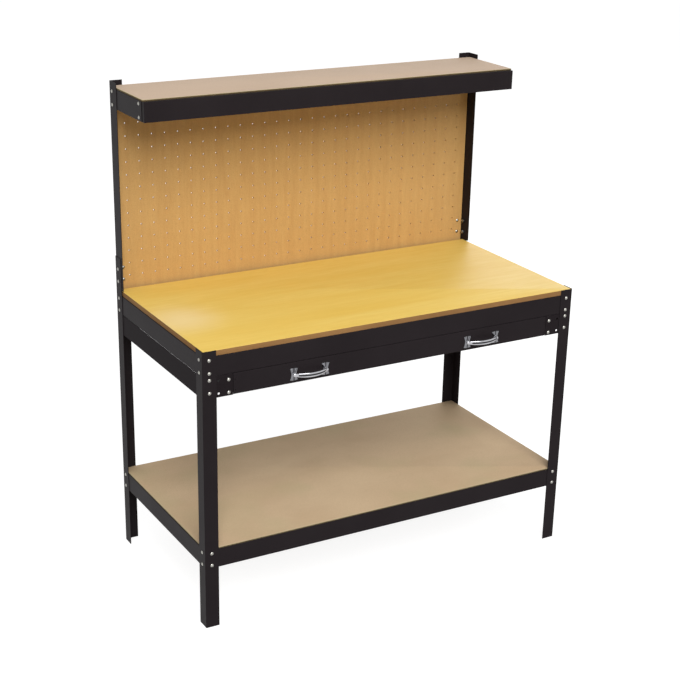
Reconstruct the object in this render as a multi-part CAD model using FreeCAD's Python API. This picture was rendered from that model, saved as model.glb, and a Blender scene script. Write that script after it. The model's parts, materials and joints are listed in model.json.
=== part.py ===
"""Workbench with pegboard, top shelf, lower shelf and one wide drawer.

Millimetres, +Z up, +X to the user's right, the user stands at -Y.
The bench is worked out about the centre of its footprint. When it is written
it is moved along Y, so that the origin lies under the middle of its whole box.
"""
import FreeCAD, Part
import math
import os

V = FreeCAD.Vector

# Whole bench
bench_width = 1220.0
bench_depth = 610.0
worktop_height = 836.0
bench_height = 1448.0
rear_leg_rise = 99.0

# Steel sheet and its bends
leg_wall = 1.5
beam_wall = 1.5
housing_wall = 1.5
guide_wall = 1.5
shelf_wall = 1.5
drawer_wall = 1.0
drawer_front_wall = 1.2
bend_radius = 1.0

# Legs and uprights, rolled from angle
leg_flange = 41.0
upright_back_flange = 38.0
upright_side_flange = 50.0
upright_wall = 1.5
upright_lift = 2.0

# Beams under the worktop and the lower shelf
beam_height = 58.0
beam_flange = 30.0
beam_lip = 12.0
beam_end_gap = 2.0
lower_beam_bottom = 186.0

# Boards
worktop_thickness = 16.0
worktop_rear_setback = 20.5
lower_board_thickness = 4.0
top_board_thickness = 5.0
top_board_setback = 10.0
board_gap = 0.5

# Pegboard
pegboard_thickness = 6.0
pegboard_foot_gap = 2.0
pegboard_side_gap = 1.5
peg_hole_radius = 2.4
peg_pitch_x = 40.6
peg_pitch_z = 37.7
peg_side_margin = 30.0
peg_top_margin = 28.0
peg_bottom_margin = 30.0

# Top shelf
shelf_drop = 13.0
shelf_height = 56.0
shelf_flange = 20.0
shelf_front_y = 57.0
fascia_return = 44.0
side_plate_setback = 17.0
shelf_front_bolt = 35.0
shelf_bolt_edge = 9.0

# Braces under the boards
brace_width = 40.0
brace_drop = 25.0
brace_wall = 1.5
brace_tab_width = 30.0
brace_tab_lap = 6.0
brace_end_gap = 1.5

# Drawer housing and guides
apron_gap = 0.2
apron_height = 61.8
ear_reach = 88.5
ear_bolt_pitch = 37.0
leg_row_rise = 3.4
guide_row_drop = 3.8
spare_row_drop = 2.0
spare_hole_inset = 48.0
guide_bolt_inset = 78.0
guide_height = 58.0
guide_tab = 24.0
guide_web_inset = 91.0
guide_flange = 13.5
guide_front_setback = 15.5
guide_rear_setback = 15.0
stop_depth = 6.0
stop_width = 9.5
stop_wall = 1.2
stop_setback = 100.0
stop_gap = 0.5

# Drawer
drawer_depth = 443.0
drawer_front_gap = 1.5
drawer_front_drop = 0.5
drawer_front_return = 6.0
drawer_side_gap = 1.0
drawer_lift = 0.5
drawer_side_height = 47.0
drawer_side_lip = 10.0
drawer_top_lip = 8.0
drawer_bottom_thickness = 0.8
drawer_bottom_gap = 0.3
stop_tab_length = 12.0
stop_tab_clearance = 0.5

# Handles
handle_offset = 286.0
handle_drop = 4.5
handle_pitch = 99.0
handle_foot_width = 24.0
handle_foot_waist = 16.0
handle_foot_height = 37.0
handle_foot_crown = 1.5
handle_foot_wall = 2.0
handle_post_radius = 5.5
handle_post_length = 8.0
handle_thread_depth = 7.0
handle_reach = 28.0
handle_bar_height = 13.0
handle_bar_wall = 4.0

# Frame bolts and nuts
bolt_inset = 20.5
bolt_edge = 10.5
bolt_radius = 3.0
bolt_hole_gap = 0.3
bolt_head_radius = 5.0
bolt_head_height = 3.0
bolt_tip = 2.0
nut_flats = 10.0
nut_height = 5.0
thread_gap = 0.02
splice_rise = 25.5
splice_pitch = 37.5

# Small screws and rivets
screw_radius = 2.0
screw_head_radius = 4.0
screw_head_height = 2.4
screw_tip_gap = 1.0
wood_screw_depth = 12.0
wood_screw_span = 400.0
wood_screw_side_span = 150.0
rivet_radius = 1.6
rivet_head_radius = 3.0
rivet_head_height = 1.0
rivet_pitch = 30.0
rivet_bottom_count = 4
rivet_drill_length = 16.0
sheet_drill_length = 40.0

# Places worked out from the sizes above
half_width = bench_width / 2
half_depth = bench_depth / 2
leg_flanges = (leg_flange, leg_flange)
upright_flanges = (upright_side_flange, upright_back_flange)
inner_x = half_width - leg_wall
inner_y = half_depth - leg_wall
rear_leg_height = worktop_height + rear_leg_rise
shelf_top = bench_height - shelf_drop
worktop_underside = worktop_height - worktop_thickness
worktop_beam_bottom = worktop_underside - beam_height
lower_beam_top = lower_beam_bottom + beam_height
upright_inner_x = inner_x - upright_wall
upright_inner_y = inner_y - upright_wall
pegboard_front = upright_inner_y - pegboard_thickness
rail_front = pegboard_front - shelf_wall
shelf_board_underside = shelf_top - top_board_thickness
shelf_bottom = shelf_board_underside - shelf_height
apron_top = worktop_beam_bottom - apron_gap
apron_bottom = apron_top - apron_height
apron_middle = (apron_top + apron_bottom) / 2
bolt_x = half_width - bolt_inset
bolt_y = half_depth - bolt_inset
hole_radius = bolt_radius + bolt_hole_gap
guide_inner_x = inner_x - guide_web_inset + guide_wall
guide_bottom = apron_middle - guide_height / 2
guide_top = guide_bottom + guide_height
guide_front_y = -inner_y + guide_front_setback
guide_rear_y = inner_y - guide_rear_setback
drawer_face_y = -inner_y
drawer_inner_y = drawer_face_y + drawer_front_wall
drawer_side_x = guide_inner_x - drawer_side_gap
drawer_bottom_z = guide_bottom + guide_wall + drawer_lift
drawer_floor = drawer_bottom_z + drawer_wall
drawer_back_y = drawer_face_y + drawer_depth
drawer_plate_y = drawer_back_y - 2 * drawer_wall
handle_z = apron_middle - handle_drop
front_stop_y = guide_front_y + stop_setback
drawer_travel = drawer_back_y - stop_tab_length - front_stop_y - stop_wall - stop_gap
front_reach = inner_y + handle_reach
rear_reach = half_depth + max(bolt_head_height, nut_height + bolt_tip)
origin_shift = V(0, (front_reach - rear_reach) / 2, 0)

LEFT = -1
RIGHT = 1
FRONT = -1
REAR = 1


def block(x0, x1, y0, y1, z0, z1):
    """Box between two corners, given in any order."""
    low = V(min(x0, x1), min(y0, y1), min(z0, z1))
    return Part.makeBox(abs(x1 - x0), abs(y1 - y0), abs(z1 - z0), low)


def rounded_line(points, radii):
    """Edges along a line of points, with an arc of its own radius at each inner point."""
    edges = []
    start = points[0]
    for before, corner, after, radius in zip(points, points[1:], points[2:], radii):
        back = (before - corner).normalize()
        ahead = (after - corner).normalize()
        half = back.getAngle(ahead) / 2
        first = corner + back * (radius / math.tan(half))
        last = corner + ahead * (radius / math.tan(half))
        middle = corner + (back + ahead).normalize() * (radius / math.sin(half) - radius)
        edges.append(Part.LineSegment(start, first).toShape())
        edges.append(Part.Arc(first, middle, last).toShape())
        start = last
    edges.append(Part.LineSegment(start, points[-1]).toShape())
    return edges


def folded(points, wall, radius, normal):
    """Sheet folded along points and run on by the vector normal. The wall lies to the left."""
    up = V(normal).normalize()
    runs = [(b - a).normalize() for a, b in zip(points, points[1:])]
    lefts = [up.cross(run) for run in runs]
    inner = [points[0] + lefts[0] * wall]
    outer_radii = []
    inner_radii = []
    for i in range(1, len(points) - 1):
        both = lefts[i - 1] + lefts[i]
        inner.append(points[i] + both * (wall / (1 + lefts[i - 1].dot(lefts[i]))))
        turns_left = up.dot(runs[i - 1].cross(runs[i])) > 0
        outer_radii.append(radius + wall if turns_left else radius)
        inner_radii.append(radius if turns_left else radius + wall)
    inner.append(points[-1] + lefts[-1] * wall)
    edges = rounded_line(points, outer_radii)
    edges.append(Part.LineSegment(points[-1], inner[-1]).toShape())
    edges += rounded_line(inner[::-1], inner_radii[::-1])
    edges.append(Part.LineSegment(inner[0], points[0]).toShape())
    return Part.Face(Part.Wire(Part.__sortEdges__(edges))).extrude(normal)


def hole(place, axis, radius, length=sheet_drill_length):
    """Cylinder that drills through a thin sheet at place, to both sides of it."""
    return Part.makeCylinder(radius, length, place - axis * (length / 2), axis)


def drilled(shape, drills):
    """The shape with every drill cut out of it."""
    return shape.cut(Part.makeCompound(drills))


def mirrored(shape):
    """The right-hand twin of a left-hand piece."""
    return shape.mirror(V(0, 0, 0), V(1, 0, 0))


def placed(shape, place, axis):
    """The shape with its own +Z turned to axis and its origin at place."""
    turned = shape.copy()
    turned.Placement = FreeCAD.Placement(place, FreeCAD.Rotation(V(0, 0, 1), axis))
    return turned


def headed_pin(radius, head_radius, head_height, length):
    """Dome head that stands on z = 0, with a shank that runs down from it."""
    sphere_radius = (head_radius ** 2 + head_height ** 2) / (2 * head_height)
    lean = math.asin(head_radius / sphere_radius) / 2
    shoulder = V(sphere_radius * math.sin(lean), 0,
                 head_height - sphere_radius * (1 - math.cos(lean)))
    crown = V(0, 0, head_height)
    rim = V(head_radius, 0, 0)
    dome = Part.Arc(crown, shoulder, rim).toShape()
    rest = Part.makePolygon([rim, V(radius, 0, 0), V(radius, 0, -length), V(0, 0, -length), crown])
    return Part.Face(Part.Wire([dome] + rest.Edges)).revolve(V(0, 0, 0), V(0, 0, 1), 360)


def hex_nut(flats, height, bore):
    """Hexagon nut with its top on z = 0."""
    reach = flats / 2 / math.cos(math.pi / 6)
    corners = [V(reach * math.cos(i * math.pi / 3), reach * math.sin(i * math.pi / 3), -height)
               for i in range(6)]
    body = Part.Face(Part.makePolygon(corners + corners[:1])).extrude(V(0, 0, height))
    return body.cut(Part.makeCylinder(bore, height, V(0, 0, -height)))


def bolt_set(seats):
    """Bolts for a list of seats, each a place on the outer face, an axis and a grip."""
    return Part.makeCompound([
        placed(headed_pin(bolt_radius, bolt_head_radius, bolt_head_height,
                          grip + nut_height + bolt_tip), place, axis)
        for place, axis, grip in seats])


def nut_set(seats):
    """Nuts for the same list of seats."""
    nut = hex_nut(nut_flats, nut_height, bolt_radius + thread_gap)
    return Part.makeCompound([placed(nut, place - axis * grip, axis) for place, axis, grip in seats])


def beam_rows(bottom):
    """Heights of the two bolts at the end of a beam."""
    return bottom + bolt_edge, bottom + beam_height - bolt_edge


def shelf_rows():
    """Heights of the bolts of the top shelf."""
    return shelf_bottom + shelf_bolt_edge, shelf_board_underside - shelf_bolt_edge


def ear_rows(rise):
    """Heights of two holes in an end plate of the housing, by the rise of their middle."""
    middle = apron_middle + rise
    return middle - ear_bolt_pitch / 2, middle + ear_bolt_pitch / 2


def splice_rows():
    """Heights of the bolts that join the uprights to the rear legs."""
    return worktop_height + splice_rise, worktop_height + splice_rise + splice_pitch


def facing_seats(y, side, xs, rows, grip):
    """Seats on a face square to Y, at every x and height given."""
    return [(V(x, y, z), V(0, side, 0), grip) for x in xs for z in rows]


def flank_seats(x, y, rows, grip):
    """Seats on both flanks of the bench, at one depth."""
    return [(V(side * x, y, z), V(side, 0, 0), grip) for side in (LEFT, RIGHT) for z in rows]


def frame_seats(bottom):
    """The seats of one beam frame: both flanges of all four legs."""
    rows = beam_rows(bottom)
    grip = leg_wall + beam_wall
    seats = []
    for side in (FRONT, REAR):
        seats += facing_seats(side * half_depth, side, (-bolt_x, bolt_x), rows, grip)
        seats += flank_seats(half_width, side * bolt_y, rows, grip)
    return seats


def housing_seats():
    """The seats of the drawer housings, on the legs and on the guides."""
    leg_grip = leg_wall + housing_wall
    guide_grip = housing_wall + guide_wall
    guide_x = half_width - guide_bolt_inset
    seats = []
    for side in (FRONT, REAR):
        seats += facing_seats(side * half_depth, side, (-bolt_x, bolt_x), ear_rows(leg_row_rise), leg_grip)
        seats += facing_seats(side * inner_y, side, (-guide_x, guide_x), ear_rows(-guide_row_drop),
                              guide_grip)
    return seats


def splice_seats():
    """The seats that join uprights, rear legs and the foot of the pegboard."""
    back_grip = pegboard_thickness + upright_wall + leg_wall
    seats = flank_seats(half_width, bolt_y, splice_rows(), leg_wall + upright_wall)
    return seats + facing_seats(pegboard_front, FRONT, (-bolt_x, bolt_x), splice_rows(), back_grip)


def shelf_seats():
    """The seats of the top shelf: fascia, uprights and rear rail."""
    rows = shelf_rows()
    rail_grip = shelf_wall + pegboard_thickness + upright_wall
    seats = flank_seats(upright_inner_x, shelf_front_y + shelf_front_bolt, rows, 2 * shelf_wall)
    seats += flank_seats(inner_x, bolt_y, rows, upright_wall + shelf_wall)
    return seats + facing_seats(rail_front, FRONT, (-bolt_x, bolt_x), rows, rail_grip)


def seat_holes(seats):
    """Clearance drills for a list of seats."""
    return [hole(place, axis, hole_radius) for place, axis, _ in seats]


def angle_post(x, y, y_side, flanges, wall, bottom, top):
    """Left-hand angle with its outer corner at x, y and its flanges, along Y and X, inwards."""
    along_y, along_x = flanges
    ends = [V(x, y - y_side * along_y, bottom), V(x, y, bottom), V(x + along_x, y, bottom)]
    if y_side == REAR:
        ends.reverse()
    return folded(ends, wall, bend_radius, V(0, 0, top - bottom))


def front_leg():
    post = angle_post(-half_width, -half_depth, FRONT, leg_flanges, leg_wall, 0, worktop_height)
    seats = frame_seats(worktop_beam_bottom) + frame_seats(lower_beam_bottom) + housing_seats()
    return drilled(post, seat_holes(seats))


def rear_leg():
    post = angle_post(-half_width, half_depth, REAR, leg_flanges, leg_wall, 0, rear_leg_height)
    seats = frame_seats(worktop_beam_bottom) + frame_seats(lower_beam_bottom)
    return drilled(post, seat_holes(seats + housing_seats() + splice_seats()))


def upright():
    post = angle_post(-inner_x, inner_y, REAR, upright_flanges, upright_wall,
                      worktop_height + upright_lift, bench_height)
    return drilled(post, seat_holes(splice_seats() + shelf_seats()))


def channel_points(height, flange, lip):
    """Outline of a beam, seen along it: lip, web and top flange. The web's foot is the zero point."""
    return [(lip, 0), (0, 0), (0, height), (flange, height)]


def cross_beam(bottom, side):
    """Front or rear beam, the full width between the legs."""
    reach = inner_x - beam_end_gap
    outline = channel_points(beam_height, beam_flange, beam_lip)
    points = [V(-reach, side * (inner_y - depth), bottom + z) for depth, z in outline]
    if side == FRONT:
        points.reverse()
    return folded(points, beam_wall, bend_radius, V(2 * reach, 0, 0))


def side_beam(bottom):
    """Left beam. Its flanges stop short of the front and rear beams."""
    reach = inner_y - beam_end_gap
    outline = channel_points(beam_height, beam_flange, beam_lip)
    points = [V(-inner_x + depth, -reach, bottom + z) for depth, z in outline]
    beam = folded(points, beam_wall, bend_radius, V(0, 2 * reach, 0))
    notch_x = -inner_x + beam_wall
    clear = reach - beam_flange
    for side in (FRONT, REAR):
        notch = block(notch_x, notch_x + beam_flange, side * clear, side * (reach + beam_end_gap),
                      bottom - beam_wall, bottom + beam_height + beam_wall)
        beam = beam.cut(notch)
    return beam


def worktop_screw_places():
    """Where screws go up into the worktop: front flange, side flanges and brace."""
    front_y = -inner_y + beam_flange / 2
    side_x = inner_x - beam_flange / 2
    under = worktop_underside - beam_wall
    places = [V(x, front_y, under) for x in (-wood_screw_span, wood_screw_span)]
    places += [V(x, y, under) for x in (-side_x, side_x)
               for y in (-wood_screw_side_span, wood_screw_side_span)]
    brace_under = worktop_underside - brace_wall
    return places + [V(0, y, brace_under) for y in (-wood_screw_side_span, wood_screw_side_span)]


def screw_holes(radius):
    return [hole(place, V(0, 0, 1), radius, 2 * wood_screw_depth) for place in worktop_screw_places()]


def add_beams(nodes):
    """Four beams of the worktop frame and four of the lower frame."""
    for name, bottom in (("worktop_beam", worktop_beam_bottom), ("lower_beam", lower_beam_bottom)):
        drills = seat_holes(frame_seats(bottom))
        if name == "worktop_beam":
            drills += screw_holes(screw_radius + bolt_hole_gap)
        left = side_beam(bottom)
        nodes[name + "_front"] = drilled(cross_beam(bottom, FRONT), drills)
        nodes[name + "_rear"] = drilled(cross_beam(bottom, REAR), drills)
        nodes[name + "_left"] = drilled(left, drills)
        nodes[name + "_right"] = drilled(mirrored(left), drills)


def brace(top):
    """Channel under the middle of a board, with a tab under the flange of each beam."""
    half = brace_width / 2
    reach = inner_y - beam_flange - board_gap
    points = [V(half, -reach, top - brace_drop), V(half, -reach, top), V(-half, -reach, top),
              V(-half, -reach, top - brace_drop)]
    shape = folded(points[::-1], brace_wall, bend_radius, V(0, 2 * reach, 0))
    under = top - brace_wall
    for side in (FRONT, REAR):
        shape = shape.fuse(block(-brace_tab_width / 2, brace_tab_width / 2, side * (reach - brace_tab_lap),
                                 side * (inner_y - beam_wall - brace_end_gap), under - brace_wall, under))
    return shape.removeSplitter()


def worktop_board():
    """Worktop, just narrow enough to lie between the uprights that stand over its rear corners."""
    reach_x = upright_inner_x - board_gap
    board = block(-reach_x, reach_x, -inner_y + board_gap, half_depth - worktop_rear_setback,
                  worktop_underside, worktop_height)
    pilots = [Part.makeCylinder(screw_radius, wood_screw_depth, V(place.x, place.y, worktop_underside))
              for place in worktop_screw_places()]
    return drilled(board, pilots)


def lower_shelf_board():
    reach_x = inner_x - board_gap
    reach_y = inner_y - board_gap
    return block(-reach_x, reach_x, -reach_y, reach_y, lower_beam_top,
                 lower_beam_top + lower_board_thickness)


def top_shelf_board():
    reach_x = upright_inner_x - 2 * board_gap
    return block(-reach_x, reach_x, shelf_front_y + top_board_setback, rail_front - board_gap,
                 shelf_board_underside, shelf_top)


def pegboard():
    """Hardboard with a square-set grid of holes, kept clear of the bolts in its border."""
    reach_x = upright_inner_x - pegboard_side_gap
    bottom = worktop_underside + pegboard_foot_gap
    top = shelf_board_underside - pegboard_foot_gap
    columns = int((2 * reach_x - 2 * peg_side_margin) / peg_pitch_x) + 1
    rows = int((top - bottom - peg_top_margin - peg_bottom_margin) / peg_pitch_z) + 1
    first_x = -(columns - 1) * peg_pitch_x / 2
    outline = block(-reach_x, reach_x, pegboard_front, upright_inner_y, bottom, top)
    drills = [hole(V(first_x + i * peg_pitch_x, pegboard_front, top - peg_top_margin - j * peg_pitch_z),
                   V(0, 1, 0), peg_hole_radius) for i in range(columns) for j in range(rows)]
    return drilled(outline, drills + seat_holes(splice_seats() + shelf_seats()))


def shelf_drills():
    return seat_holes(shelf_seats())


def shelf_side():
    """Left side plate of the top shelf. Its flange stops short of fascia and rail."""
    front = shelf_front_y + side_plate_setback
    rear = rail_front - board_gap
    web_x = -upright_inner_x
    points = [V(web_x, front, shelf_bottom), V(web_x, front, shelf_board_underside),
              V(web_x + shelf_flange, front, shelf_board_underside)]
    plate = folded(points, shelf_wall, bend_radius, V(0, rear - front, 0))
    inside = web_x + shelf_wall
    for start, end in ((front, shelf_front_y + fascia_return + board_gap),
                       (rear - shelf_flange, rear)):
        plate = plate.cut(block(inside, inside + shelf_flange, start, end, shelf_bottom, shelf_top))
    return drilled(plate, shelf_drills())


def shelf_fascia():
    """Front of the top shelf: a folded tray end with its two returns behind the side plates."""
    reach = upright_inner_x - shelf_wall
    back = shelf_front_y + fascia_return
    points = [V(-reach, back, shelf_bottom), V(-reach, shelf_front_y, shelf_bottom),
              V(reach, shelf_front_y, shelf_bottom), V(reach, back, shelf_bottom)]
    shape = folded(points, shelf_wall, bend_radius, V(0, 0, shelf_height))
    inside = reach - shelf_wall - bend_radius
    for z in (shelf_board_underside - shelf_wall, shelf_bottom):
        shape = shape.fuse(block(-inside, inside, shelf_front_y, shelf_front_y + shelf_flange,
                                 z, z + shelf_wall))
    shape = shape.removeSplitter()
    return drilled(shape, shelf_drills())


def shelf_rail():
    """Rear rail of the top shelf, which clamps the pegboard to the uprights."""
    reach = upright_inner_x - shelf_wall - board_gap
    points = [V(-reach, rail_front + shelf_wall, shelf_bottom),
              V(-reach, rail_front + shelf_wall, shelf_board_underside),
              V(-reach, rail_front + shelf_wall - shelf_flange, shelf_board_underside)]
    rail = folded(points, shelf_wall, bend_radius, V(2 * reach, 0, 0))
    return drilled(rail, shelf_drills())


def drawer_housing():
    """Left side rail of the drawer bay. Its folded ends are the plates beside the drawer front."""
    inboard = -inner_x + ear_reach
    points = [V(inboard, -inner_y, apron_bottom), V(-inner_x, -inner_y, apron_bottom),
              V(-inner_x, inner_y, apron_bottom), V(inboard, inner_y, apron_bottom)]
    rail = folded(points[::-1], housing_wall, bend_radius, V(0, 0, apron_height))
    spare_x = -half_width + spare_hole_inset
    spares = [hole(V(spare_x, y, z), V(0, 1, 0), hole_radius)
              for y in (-inner_y, inner_y) for z in ear_rows(-spare_row_drop)]
    return drilled(rail, seat_holes(housing_seats()) + spares)


def drawer_guide():
    """Left guide: a channel open to the drawer, with a tab at each end and two turned-down stops."""
    end_y = inner_y - housing_wall
    web_x = -guide_inner_x
    tab_x = web_x - guide_tab
    points = [V(tab_x, -end_y, guide_bottom), V(web_x, -end_y, guide_bottom),
              V(web_x, end_y, guide_bottom), V(tab_x, end_y, guide_bottom)]
    shape = folded(points, guide_wall, bend_radius, V(0, 0, guide_height))
    lip_x = web_x - guide_wall
    for z in (guide_bottom, guide_top - guide_wall):
        shape = shape.fuse(block(lip_x, web_x + guide_flange, guide_front_y, guide_rear_y,
                                 z, z + guide_wall))
    under = guide_top - guide_wall
    for y in (front_stop_y, drawer_back_y + stop_gap):
        shape = shape.fuse(block(web_x, web_x + stop_width, y, y + stop_wall, under - stop_depth, under))
    return drilled(shape.removeSplitter(), seat_holes(housing_seats()))


def handle_places():
    """Middle of each handle on the drawer front."""
    return [V(side * handle_offset, drawer_face_y, handle_z) for side in (LEFT, RIGHT)]


def handle_feet():
    """Middle of each foot's back, all handles."""
    return [middle + V(side * handle_pitch / 2, 0, 0) for middle in handle_places() for side in (LEFT, RIGHT)]


def handle_drills():
    return [hole(place, V(0, 1, 0), screw_radius + bolt_hole_gap) for place in handle_feet()]


def handle_foot(place):
    """Foot plate with a lobe above and below its waist, and a post with a threaded bore."""
    wide = handle_foot_width / 2
    waist = handle_foot_waist / 2
    top = handle_foot_height / 2
    shoulder = top - handle_foot_crown
    corners = [V(-wide, 0, -shoulder), V(-wide, 0, shoulder), V(wide, 0, shoulder), V(wide, 0, -shoulder)]
    swells = [V(-waist, 0, 0), V(0, 0, top), V(waist, 0, 0), V(0, 0, -top)]
    edges = [Part.Arc(start, over, end).toShape()
             for start, over, end in zip(corners, swells, corners[1:] + corners[:1])]
    plate = Part.Face(Part.Wire(edges)).extrude(V(0, -handle_foot_wall, 0))
    plate.translate(place)
    post = Part.makeCylinder(handle_post_radius, handle_foot_wall + handle_post_length, place, V(0, -1, 0))
    return plate.fuse(post)


def handle_bar(middle):
    """Flat bar, bowed in one arc from post to post."""
    half = handle_pitch / 2
    bottom = middle.z - handle_bar_height / 2
    end_y = middle.y - handle_foot_wall - handle_post_length
    front = [V(middle.x - half, end_y, bottom), V(middle.x, middle.y - handle_reach, bottom),
             V(middle.x + half, end_y, bottom)]
    back = [point + V(0, handle_bar_wall, 0) for point in front]
    edges = [Part.Arc(*front).toShape(), Part.LineSegment(front[2], back[2]).toShape(),
             Part.Arc(*back).toShape(), Part.LineSegment(back[0], front[0]).toShape()]
    return Part.Face(Part.Wire(Part.__sortEdges__(edges))).extrude(V(0, 0, handle_bar_height))


def handle(middle):
    """Bow handle: two feet and the bar between them."""
    shape = handle_bar(middle)
    bores = []
    for side in (LEFT, RIGHT):
        place = middle + V(side * handle_pitch / 2, 0, 0)
        shape = shape.fuse(handle_foot(place))
        bores.append(Part.makeCylinder(screw_radius + thread_gap, handle_foot_wall + handle_thread_depth,
                                       place, V(0, -1, 0)))
    return drilled(shape.removeSplitter(), bores)


def drawer_front():
    """Face of the drawer, with a return along its top and its bottom edge."""
    reach = inner_x - ear_reach - drawer_front_gap
    bottom = apron_bottom + drawer_front_drop
    top = apron_top - drawer_front_drop
    back = drawer_inner_y + drawer_front_return
    points = [V(-reach, back, bottom), V(-reach, drawer_face_y, bottom),
              V(-reach, drawer_face_y, top), V(-reach, back, top)]
    face = folded(points[::-1], drawer_front_wall, bend_radius, V(2 * reach, 0, 0))
    return drilled(face, handle_drills() + rivet_holes())


def front_rivets():
    """Rivets from the drawer sides' front tabs into the drawer front, as place and axis."""
    x = drawer_side_x - drawer_side_lip / 2
    middle = drawer_bottom_z + drawer_side_height / 2
    return [(V(side * x, drawer_inner_y + drawer_wall, middle + dz), V(0, 1, 0))
            for side in (LEFT, RIGHT) for dz in (-rivet_pitch / 2, rivet_pitch / 2)]


def back_rivets():
    """Rivets from the drawer back into the drawer sides' rear tabs."""
    x = drawer_side_x - drawer_side_lip / 2
    middle = drawer_bottom_z + drawer_side_height / 2
    return [(V(side * x, drawer_plate_y, middle + dz), V(0, -1, 0))
            for side in (LEFT, RIGHT) for dz in (-rivet_pitch / 2, rivet_pitch / 2)]


def bottom_rivets():
    """Rivets from the drawer bottom into the lips of the sides."""
    x = drawer_side_x - drawer_side_lip / 2
    z = drawer_floor + drawer_bottom_thickness
    step = drawer_depth / (rivet_bottom_count + 1)
    return [(V(side * x, drawer_face_y + (i + 1) * step, z), V(0, 0, 1))
            for side in (LEFT, RIGHT) for i in range(rivet_bottom_count)]


def rivet_holes():
    spots = front_rivets() + back_rivets() + bottom_rivets()
    return [hole(place, axis, rivet_radius, rivet_drill_length) for place, axis in spots]


def drawer_rivets():
    """All rivets of the drawer. Each shank is as long as the sheets that it joins."""
    shapes = []
    for spots, grip in ((front_rivets(), drawer_front_wall + drawer_wall),
                        (back_rivets(), 2 * drawer_wall),
                        (bottom_rivets(), drawer_bottom_thickness + drawer_wall)):
        pin = headed_pin(rivet_radius, rivet_head_radius, rivet_head_height, grip)
        shapes += [placed(pin, place, axis) for place, axis in spots]
    return Part.makeCompound(shapes)


def drawer_floor_span():
    """Where the drawer's bottom starts and ends along Y, between the end tabs of its sides."""
    inset = drawer_wall + drawer_bottom_gap
    return drawer_inner_y + inset, drawer_back_y - inset


def drawer_side():
    """Left side of the drawer: web, two lips, a tab at each end, and a stop tab at the rear."""
    x = -drawer_side_x
    tab_x = x + drawer_side_lip
    top = drawer_bottom_z + drawer_side_height
    start, end = drawer_floor_span()
    points = [V(tab_x, drawer_inner_y, drawer_bottom_z), V(x, drawer_inner_y, drawer_bottom_z),
              V(x, drawer_back_y, drawer_bottom_z), V(tab_x, drawer_back_y, drawer_bottom_z)]
    shape = folded(points[::-1], drawer_wall, bend_radius, V(0, 0, drawer_side_height))
    shape = shape.fuse(block(x, tab_x, start, end, drawer_bottom_z, drawer_floor))
    shape = shape.fuse(block(x, x + drawer_top_lip, start, end, top - drawer_wall, top))
    stop_top = guide_top - guide_wall - stop_tab_clearance
    shape = shape.fuse(block(x, x + drawer_wall, drawer_back_y - stop_tab_length, drawer_back_y,
                             top - drawer_wall, stop_top))
    return drilled(shape.removeSplitter(), rivet_holes())


def drawer_back():
    """Back of the drawer, a flat plate inside the sides' rear tabs."""
    reach = drawer_side_x - drawer_wall - bend_radius - drawer_bottom_gap
    plate = block(-reach, reach, drawer_plate_y, drawer_plate_y + drawer_wall,
                  drawer_floor + drawer_bottom_thickness,
                  drawer_bottom_z + drawer_side_height - drawer_wall)
    return drilled(plate, rivet_holes())


def drawer_bottom():
    reach = drawer_side_x - drawer_wall - drawer_bottom_gap
    sheet = block(-reach, reach, *drawer_floor_span(), drawer_floor,
                  drawer_floor + drawer_bottom_thickness)
    return drilled(sheet, rivet_holes())


def handle_screws():
    """Screws from inside the drawer into the posts of the handles."""
    depth = drawer_front_wall + handle_foot_wall + handle_thread_depth - screw_tip_gap
    pin = headed_pin(screw_radius, screw_head_radius, screw_head_height, depth)
    return Part.makeCompound([placed(pin, place + V(0, drawer_front_wall, 0), V(0, 1, 0))
                              for place in handle_feet()])


def worktop_screws():
    """Screws that hold the worktop, driven up from below."""
    pin = headed_pin(screw_radius, screw_head_radius, screw_head_height,
                     beam_wall + wood_screw_depth)
    return Part.makeCompound([placed(pin, place, V(0, 0, -1)) for place in worktop_screw_places()])


def add_pairs(nodes):
    """Pieces that come as a left and a right twin."""
    for name, make in (("front_leg", front_leg), ("rear_leg", rear_leg), ("upright", upright),
                       ("top_shelf_side", shelf_side), ("drawer_housing", drawer_housing),
                       ("drawer_guide", drawer_guide), ("drawer_side", drawer_side)):
        left = make()
        nodes[name + "_left"] = left
        nodes[name + "_right"] = mirrored(left)


def add_fasteners(nodes):
    """Bolts and nuts, one node of each for every joint group."""
    for name, seats in (("worktop_frame", frame_seats(worktop_beam_bottom)),
                        ("lower_frame", frame_seats(lower_beam_bottom)),
                        ("drawer_housing", housing_seats()),
                        ("upright_splice", splice_seats()),
                        ("top_shelf", shelf_seats())):
        nodes[name + "_bolts"] = bolt_set(seats)
        nodes[name + "_nuts"] = nut_set(seats)


def build():
    """All nodes of the bench, by name."""
    nodes = {}
    add_pairs(nodes)
    add_beams(nodes)
    nodes["worktop_board"] = worktop_board()
    nodes["lower_shelf_board"] = lower_shelf_board()
    nodes["top_shelf_board"] = top_shelf_board()
    nodes["pegboard"] = pegboard()
    nodes["worktop_brace"] = drilled(brace(worktop_underside), screw_holes(screw_radius + bolt_hole_gap))
    nodes["lower_shelf_brace"] = brace(lower_beam_top)
    nodes["top_shelf_fascia"] = shelf_fascia()
    nodes["top_shelf_rear_rail"] = shelf_rail()
    nodes["drawer_front"] = drawer_front()
    nodes["drawer_back"] = drawer_back()
    nodes["drawer_bottom"] = drawer_bottom()
    nodes["drawer_rivets"] = drawer_rivets()
    for side, middle in zip(("left", "right"), handle_places()):
        nodes["handle_" + side] = handle(middle)
    nodes["handle_screws"] = handle_screws()
    nodes["worktop_screws"] = worktop_screws()
    add_fasteners(nodes)
    return nodes


os.makedirs("parts", exist_ok=True)
for node_name, node_shape in build().items():
    node_shape.translate(origin_shift)
    node_shape.exportStep("parts/" + node_name + ".step")
print("drawer travel", round(drawer_travel, 3), "origin shift", round(origin_shift.y, 3))
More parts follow.
